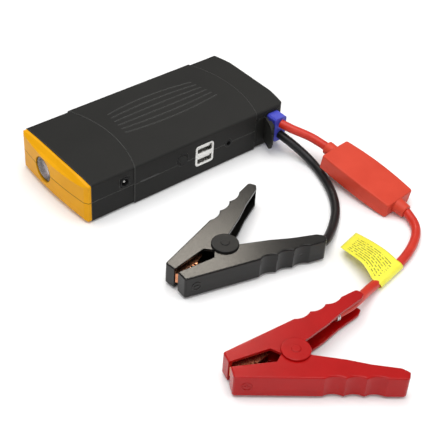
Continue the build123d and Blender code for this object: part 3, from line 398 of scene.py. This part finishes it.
MATERIALS = {
    "casing_black": casing_plastic(),
    "cap_yellow": moulded(
        "cap_satin", (0.70, 0.315, 0.0015), (0.77, 0.355, 0.003), roughness=0.40, grain=1500.0,
        relief=0.012 * MM, edge_radius=0.3 * MM, edge_mix=0.25, specular=0.12, seam=PARTING_LINE),
    "lens_clear": lens_plastic(),
    "reflector": metal("reflector_plating", (0.24, 0.20, 0.21), (0.09, 0.075, 0.075),
                       roughness=0.10, scale=500.0),
    "circuit_board": circuit_resin(),
    "component_black": moulded(
        "component_resin", (0.011, 0.011, 0.011), (0.017, 0.017, 0.017), roughness=0.50,
        grain=1800.0, relief=0.02 * MM, edge_radius=0.2 * MM, specular=0.15),
    "led": glow_die(),
    "usb_white": moulded(
        "insert_white", (0.80, 0.80, 0.77), (0.87, 0.87, 0.84), roughness=0.38, grain=1600.0,
        relief=0.01 * MM, edge_radius=0.2 * MM),
    "connector_metal": metal("nickel_plate", (0.62, 0.61, 0.59), (0.42, 0.41, 0.40),
                             roughness=0.28),
    "plug_blue": moulded(
        "plug_nylon", (0.050, 0.060, 0.45), (0.070, 0.082, 0.53), roughness=0.36, grain=1500.0,
        relief=0.012 * MM, edge_radius=0.3 * MM, edge_mix=0.3, specular=0.3),
    "cover_rubber": moulded(
        "cover_rubber_grain", (0.008, 0.008, 0.007), (0.012, 0.012, 0.010), roughness=0.62,
        grain=1900.0, relief=0.03 * MM, edge_radius=0.3 * MM, edge_mix=0.3, specular=0.3),
    "box_red": moulded(
        "box_grain", (0.57, 0.050, 0.025), (0.62, 0.060, 0.031), roughness=0.42, grain=2300.0,
        relief=0.04 * MM, edge_radius=0.45 * MM, edge_mix=0.12, specular=0.2),
    "clamp_red": moulded(
        "clamp_gloss_red", (0.36, 0.003, 0.003), (0.41, 0.0045, 0.0045), roughness=0.20,
        grain=700.0, relief=0.006 * MM, edge_radius=0.5 * MM, edge_mix=0.10, specular=0.24),
    "clamp_black": moulded(
        "clamp_gloss_black", (0.0075, 0.007, 0.0065), (0.011, 0.0102, 0.009), roughness=0.19,
        grain=700.0, relief=0.006 * MM, edge_radius=0.5 * MM, edge_mix=0.10, specular=0.30),
    "lead_red": silicone("lead_sheath_red", (0.53, 0.026, 0.013), (0.59, 0.036, 0.018),
                         roughness=0.30),
    "lead_black": silicone("lead_sheath_black", (0.005, 0.005, 0.0055), (0.009, 0.009, 0.0095),
                           roughness=0.36),
    "copper": metal("copper_stamping", (0.80, 0.36, 0.20), (0.50, 0.19, 0.09), roughness=0.25,
                    scale=1200.0),
    "steel": metal("zinc_plate", (0.72, 0.72, 0.71), (0.50, 0.50, 0.50), roughness=0.22,
                   scale=1400.0, stretch=(1.0, 1.0, 6.0)),
    "label_yellow": label_film(),
    "foot_rubber": moulded(
        "foot_rubber_grain", (0.014, 0.014, 0.014), (0.022, 0.022, 0.022), roughness=0.7,
        grain=1500.0, relief=0.04 * MM, edge_radius=0.2 * MM, specular=0.3),
    "cell_foil": metal("cell_pouch", (0.62, 0.63, 0.65), (0.50, 0.50, 0.52), roughness=0.40,
                       scale=180.0, relief=0.06 * MM),
    "foam": moulded(
        "foam_cells", (0.05, 0.05, 0.055), (0.09, 0.09, 0.095), roughness=0.95, grain=900.0,
        relief=0.15 * MM, edge_radius=0.2 * MM, specular=0.2),
    "window_smoke": moulded(
        "window_smoked", (0.014, 0.014, 0.016), (0.022, 0.022, 0.025), roughness=0.14,
        grain=900.0, relief=0.004 * MM, edge_radius=0.15 * MM, edge_mix=0.2),
}
DISC_MATERIALS = {
    "black_clamp_pivot_discs": moulded(
        "disc_matt_black", (0.011, 0.0105, 0.010), (0.015, 0.0145, 0.0135), roughness=0.45,
        grain=1200.0, relief=0.01 * MM, edge_radius=0.3 * MM, edge_mix=0.6, specular=0.26),
}
SLOT_OF = {row["node"]: row["material_slot"] for row in frame["record"]["subparts"]}


def dress_cad_nodes():
    """Each node takes its slot's material, or its own where it has one."""
    for name, node in NODES.items():
        node.data.materials.clear()
        node.data.materials.append(DISC_MATERIALS.get(name, MATERIALS[SLOT_OF[name]]))


dress_cad_nodes()
for lead, slot in ((red_lead_1, "lead_red"), (red_lead_2, "lead_red"), (black_lead, "lead_black")):
    lead.data.materials.append(MATERIALS[slot])


# ---------------------------------------------------------------- mesh helpers
def new_piece(name, vertices, faces, body, slot):
    """A smooth mesh that rides a body and wears a slot's material."""
    mesh = bpy.data.meshes.new(name)
    mesh.from_pydata([tuple(v) for v in vertices], [], faces)
    mesh.update()
    for face in mesh.polygons:
        face.use_smooth = True
    piece = bpy.data.objects.new(name, mesh)
    bpy.context.scene.collection.objects.link(piece)
    mesh.materials.append(MATERIALS[slot])
    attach(piece, body)
    return piece


def joined_rings(rings, sides):
    """The quads between each ring of points and the next."""
    faces = []
    for ring in range(rings - 1):
        for step in range(sides):
            a, b = ring * sides + step, ring * sides + (step + 1) % sides
            faces.append((a, b, b + sides, a + sides))
    return faces


def tube_mesh(path, radius, sides):
    """Closed round tube along a list of points."""
    vertices = []
    side_way = (path[1] - path[0]).normalized().orthogonal().normalized()
    for index, point in enumerate(path):
        before, after = path[max(index - 1, 0)], path[min(index + 1, len(path) - 1)]
        ahead = (after - before).normalized()
        side_way = (side_way - ahead * side_way.dot(ahead)).normalized()
        other = ahead.cross(side_way)
        for step in range(sides):
            turn = tau * step / sides
            vertices.append(point + radius * (cos(turn) * side_way + sin(turn) * other))
    last = (len(path) - 1) * sides
    caps = [tuple(reversed(range(sides))), tuple(last + step for step in range(sides))]
    return vertices, joined_rings(len(path), sides) + caps


def spun(profile, centre, axis, sides):
    """Surface of revolution. The profile is pairs of a place along the axis and a radius."""
    axis = axis.normalized()
    side_way = axis.orthogonal().normalized()
    other = axis.cross(side_way)
    vertices = []
    for along, radius in profile:
        for step in range(sides):
            turn = tau * step / sides
            outwards = cos(turn) * side_way + sin(turn) * other
            vertices.append(centre + along * axis + radius * outwards)
    return vertices, joined_rings(len(profile), sides)


def through(points, steps):
    """A smooth line through the points (Catmull-Rom), with that many steps between two points."""
    line = []
    for index in range(len(points) - 1):
        a, b = points[index], points[index + 1]
        before, after = points[max(index - 1, 0)], points[min(index + 2, len(points) - 1)]
        knots = (a, a + (b - before) / 6, b - (after - a) / 6, b)
        line += interpolate_bezier(*knots, steps + 1)[:-1]
    return line + [points[-1]]


# ---------------------------------------------------------------- label on the red lead
LABEL_LEFT = [(25.6, -199.3, 0.7), (26.7, -201.9, 2.6), (25.4, -201.2, 5.6), (24.1, -198.6, 7.2),
              (23.4, -195.9, 7.3), (23.9, -192.6, 9.1), (25.2, -184.5, 11.6), (27.0, -174.4, 9.6),
              (29.2, -161.2, 6.4)]
LABEL_RIGHT = [(51.4, -195.6, 0.7), (51.9, -197.2, 2.8), (51.0, -196.6, 5.4), (50.3, -194.8, 6.7),
               (49.9, -192.6, 7.0), (50.2, -188.5, 7.3), (50.8, -180.5, 7.2), (51.9, -167.6, 4.9),
               (53.1, -152.9, 1.1)]
LABEL_SKIN = 0.22 * MM           # thickness
LABEL_CROWN = 0.35 * MM          # how much it bulges between its edges
LABEL_COLUMNS, LABEL_ROW_STEPS = 22, 6


def make_label():
    """A flag of film: round the lead at one end, arched, its free end twisted down to the floor."""
    left = through([mm(*p) for p in LABEL_LEFT], LABEL_ROW_STEPS)
    right = through([mm(*p) for p in LABEL_RIGHT], LABEL_ROW_STEPS)
    rows = len(left)
    middles = [(a + b) / 2 for a, b in zip(left, right)]
    reach = [0.0]
    for before, after in zip(middles, middles[1:]):
        reach.append(reach[-1] + (after - before).length)
    vertices, faces, uvs = [], [], []
    for index, (a, b) in enumerate(zip(left, right)):
        for column in range(LABEL_COLUMNS + 1):
            share = column / LABEL_COLUMNS
            rise = LABEL_CROWN * sin(pi * share) * sin(pi * index / (rows - 1))
            vertices.append(a.lerp(b, share) + Vector((0, 0, rise)))
            uvs.append((1 - share, 1 - reach[index] / reach[-1]))
    stride = LABEL_COLUMNS + 1
    for row in range(rows - 1):
        for column in range(LABEL_COLUMNS):
            first = row * stride + column
            faces.append((first, first + 1, first + stride + 1, first + stride))
    label = new_piece("printed_label", vertices, faces, "smart_cable", "label_yellow")
    layer = label.data.uv_layers.new(name="UVMap")
    for loop in label.data.loops:
        layer.data[loop.index].uv = uvs[loop.vertex_index]
    skin = label.modifiers.new("film", "SOLIDIFY")
    skin.thickness, skin.offset = LABEL_SKIN, 0
    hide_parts("lead_label")
    return label


label = make_label()

# ---------------------------------------------------------------- clamp springs and crimp ring
CLAMP_TURN = {"black": radians(1.8), "red": radians(-21.25)}    # of its middle line, from +X
HANDLE_ANGLE = radians(16.4)     # between that middle line and a handle
COIL_RADIUS, COIL_TURNS, COIL_HEIGHT = 5.15 * MM, 5.0, 8.2 * MM
COIL_STEPS, LEG_STEPS = 26, 8    # steps in one turn, and along the leg
SPRING_WIRE = 0.8 * MM           # radius
LEG_REACH, LEG_ASIDE = 22 * MM, 15.5 * MM    # the leg's end, along the handle and square to it
LEG_HEIGHT = 0.6                 # the leg's end, as a share of the height where the coil ends
WIRE_SIDES = 10


def in_clamp(colour, point):
    """A point given from the clamp's pivot, with X along its middle line, in the frame."""
    joint = next(j for j in frame["joints"] if j["name"] == f"{colour}_clamp_pivot")
    return Vector(joint["pos_m"]) + Matrix.Rotation(CLAMP_TURN[colour], 3, "Z") @ point


def leg_line(side):
    """Where a spring's leg ends, and the bearing at which it leaves the coil at a tangent."""
    end = Vector((LEG_REACH * cos(HANDLE_ANGLE) - LEG_ASIDE * sin(HANDLE_ANGLE),
                  side * (LEG_REACH * sin(HANDLE_ANGLE) + LEG_ASIDE * cos(HANDLE_ANGLE)), 0))
    return end, atan2(end.y, end.x) + side * acos(COIL_RADIUS / hypot(end.x, end.y))


def make_spring(colour, side):
    """A wound coil round the pivot pin whose end runs into the handle that carries the lead."""
    leg_end, bearing = leg_line(side)
    path = []
    count = int(COIL_TURNS * COIL_STEPS)
    for index in range(count + 1):
        share = index / count
        turn = bearing - side * tau * COIL_TURNS * (1 - share)
        path.append(Vector((COIL_RADIUS * cos(turn), COIL_RADIUS * sin(turn),
                            side * (0.5 - share) * COIL_HEIGHT)))
    leaves = path[-1]
    leg_end.z = leaves.z * LEG_HEIGHT
    path += [leaves.lerp(leg_end, step / LEG_STEPS) for step in range(1, LEG_STEPS + 1)]
    vertices, faces = tube_mesh([in_clamp(colour, p) for p in path], SPRING_WIRE, WIRE_SIDES)
    spring = new_piece(f"{colour}_clamp_wound_spring", vertices, faces, "smart_cable", "steel")
    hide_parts(f"{colour}_clamp_spring")


RING_WIRE = 0.6 * MM             # radius
RING_RADIUS = LEAD / 2 + 0.55 * MM
RING_PLACE = 1.4 * MM            # from the lead's end
RING_PITCH = RING_WIRE * 2.2
RING_TURNS, RING_STEPS = 2, 40


def make_crimp_ring():
    """A bright wire ring that holds the end of the red lead inside the open handle."""
    end, before = mm(*RED_LEAD_2[-1]), mm(*RED_LEAD_2[-2])
    along = (before - end).normalized()
    side_way = along.orthogonal().normalized()
    other = along.cross(side_way)
    start = end + along * RING_PLACE
    path = []
    for step in range(RING_TURNS * RING_STEPS + 1):
        turn = tau * step / RING_STEPS
        outwards = cos(turn) * side_way + sin(turn) * other
        path.append(start + RING_RADIUS * outwards + along * RING_PITCH * step / RING_STEPS)
    vertices, faces = tube_mesh(path, RING_WIRE, WIRE_SIDES)
    new_piece("red_lead_crimp_ring", vertices, faces, "smart_cable", "steel")


make_spring("black", -1)
make_spring("red", 1)
make_crimp_ring()


# ---------------------------------------------------------------- lamp
BOWL_THROAT, BOWL_RIM, BOWL_LIP = 2.3 * MM, 0.35 * MM, 0.5 * MM
BACK_DEEPER, BACK_WIDER = 0.3 * MM, 0.35 * MM    # the bowl's back, from its front
BOWL_STEPS, BOWL_SIDES = 14, 72
LED_BASE = 0.3                   # the straight part of the light source's height
LED_STEPS, LED_SIDES = 6, 32


def make_reflector():
    """Plated bowl with a rim, curving down to the hole round the light source."""
    low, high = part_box("lamp_reflector")
    centre = Vector((low.x, (low.y + high.y) / 2, (low.z + high.z) / 2))
    depth, mouth = high.x - low.x, (high.y - low.y) / 2
    inner_mouth = mouth - BOWL_RIM
    bowl = []
    for index in range(BOWL_STEPS + 1):
        share = index / BOWL_STEPS
        bowl.append((depth * share, BOWL_THROAT + (inner_mouth - BOWL_THROAT) * (1 - share) ** 0.5))
    back = [(along + BACK_DEEPER, radius + BACK_WIDER) for along, radius in reversed(bowl[1:-1])]
    foot = (depth, BOWL_THROAT + BOWL_LIP)
    rim = [(BOWL_LIP, mouth), (0, mouth), (0, inner_mouth)]
    profile = [(0, inner_mouth)] + bowl[1:] + [foot] + back + rim
    vertices, faces = spun(profile, centre, Vector((1, 0, 0)), BOWL_SIDES)
    reflector = new_piece("lamp_bowl", vertices, faces, "pack", "reflector")
    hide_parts("lamp_reflector")


def make_led():
    """A small dome of clear phosphor on its base."""
    low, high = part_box("lamp_led")
    centre = Vector((high.x, (low.y + high.y) / 2, (low.z + high.z) / 2))
    radius, height = (high.y - low.y) / 2, high.x - low.x
    profile = [(0, 0), (0, radius), (height * LED_BASE, radius)]
    for step in range(1, LED_STEPS + 1):
        turn = pi / 2 * step / LED_STEPS
        profile.append((height * (LED_BASE + (1 - LED_BASE) * sin(turn)), radius * cos(turn)))
    vertices, faces = spun(profile, centre, Vector((-1, 0, 0)), LED_SIDES)
    led = new_piece("lamp_die", vertices, faces, "pack", "led")
    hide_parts("lamp_led")


make_reflector()
make_led()


# ---------------------------------------------------------------- stage and lights
FLOOR_HALF, FLOOR_DROP = 6.0, 0.02 * MM
WHITE = (1, 1, 1)
WARM = (1, 0.92, 0.80)
LIGHTS = (    # name, place, what it aims at, size, watts, colour
    ("top_softbox", (-0.15, -0.05, 1.3), (0, -0.08, 0), (1.2, 1.2), 14, WHITE),
    ("back_softbox", (0.60, 0.68, 1.0), (-0.06, -0.13, 0), (0.24, 0.20), 2.1, WARM),
    ("front_fill", (-0.9, -0.9, 0.55), (0, -0.1, 0), (0.7, 0.5), 3.0, WHITE),
    ("rim_strip", (0.75, -0.95, 0.85), (0, -0.15, 0), (0.5, 0.12), 2.5, WHITE),
)
SKY_LOW, SKY_HIGH = 0.15, 0.75           # Z of the directions between which it brightens
SKY_LOW_STRENGTH, SKY_HIGH_STRENGTH = 0.12, 0.55


def stage_material():
    shader = Shader("floor_paper")
    soft = shader.noise(3.0, 2.0)
    shader.link(shader.mix(soft, (0.93, 0.93, 0.93), (0.95, 0.95, 0.95)),
                shader.surface.inputs["Base Color"])
    shader.set(Roughness=0.95, Specular_IOR_Level=0.1)
    return shader.material


def make_stage():
    mesh = bpy.data.meshes.new("floor")
    corners = [(x * FLOOR_HALF, y * FLOOR_HALF, 0) for x, y in ((-1, -1), (1, -1), (1, 1), (-1, 1))]
    mesh.from_pydata(corners, [], [(0, 1, 2, 3)])
    mesh.materials.append(stage_material())
    floor = bpy.data.objects.new("floor", mesh)
    floor.location.z = -FLOOR_DROP
    bpy.context.scene.collection.objects.link(floor)


def make_sky():
    """A white sky, weak near the horizon and stronger overhead."""
    world = bpy.data.worlds.new("studio")
    world.use_nodes = True
    tree = world.node_tree
    direction = tree.nodes.new("ShaderNodeTexCoord")
    split = tree.nodes.new("ShaderNodeSeparateXYZ")
    rise = tree.nodes.new("ShaderNodeMapRange")
    rise.inputs["From Min"].default_value = SKY_LOW
    rise.inputs["From Max"].default_value = SKY_HIGH
    rise.inputs["To Min"].default_value = SKY_LOW_STRENGTH
    rise.inputs["To Max"].default_value = SKY_HIGH_STRENGTH
    tree.links.new(direction.outputs["Generated"], split.inputs[0])
    tree.links.new(split.outputs["Z"], rise.inputs["Value"])
    tree.links.new(rise.outputs["Result"], tree.nodes["Background"].inputs["Strength"])
    tree.nodes["Background"].inputs["Color"].default_value = (*WHITE, 1)
    bpy.context.scene.world = world


def make_light(name, place, aim, size, watts, colour):
    data = bpy.data.lights.new(name, "AREA")
    data.shape, data.size, data.size_y = "RECTANGLE", *size
    data.energy, data.color = watts, colour
    light = bpy.data.objects.new(name, data)
    light.location = place
    light.rotation_euler = (Vector(aim) - Vector(place)).to_track_quat("-Z", "Y").to_euler()
    bpy.context.scene.collection.objects.link(light)


make_stage()
make_sky()
for light in LIGHTS:
    make_light(*light)
bpy.context.scene.view_settings.view_transform = "Standard"
